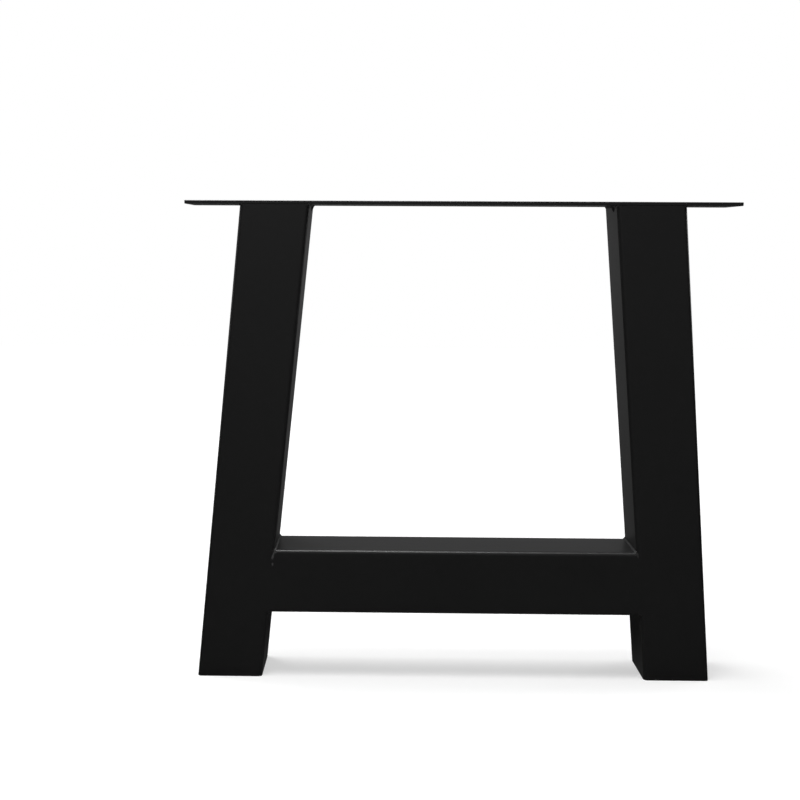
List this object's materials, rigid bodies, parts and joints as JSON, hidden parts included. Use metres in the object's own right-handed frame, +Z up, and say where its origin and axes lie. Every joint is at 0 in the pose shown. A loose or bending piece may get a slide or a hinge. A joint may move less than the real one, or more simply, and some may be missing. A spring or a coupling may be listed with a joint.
{
  "type": "trestle table leg",
  "caption": "A-shaped table leg welded from large square steel tube, with a flat top plate that overhangs both sides and a low level crossbar.",
  "frame": {"origin": "on the floor, midway between the feet and midway through the tube from front to back", "axes": "+X along the top plate, +Y from front to back, +Z up from the floor to the table top"},
  "size_m": [0.8, 0.1, 0.72],
  "materials": {
    "black_powder_coat": "fine satin black powder coat"
  },
  "bodies": {
    "root": {"top_plate": "black_powder_coat", "crossbar": "black_powder_coat", "left_leg": "black_powder_coat", "left_foot_plate": "black_powder_coat", "left_bar_weld": "black_powder_coat", "left_plate_weld_inner": "black_powder_coat", "left_plate_weld_outer": "black_powder_coat", "right_leg": "black_powder_coat", "right_foot_plate": "black_powder_coat", "right_bar_weld": "black_powder_coat", "right_plate_weld_inner": "black_powder_coat", "right_plate_weld_outer": "black_powder_coat"}
  },
  "joints": []
}
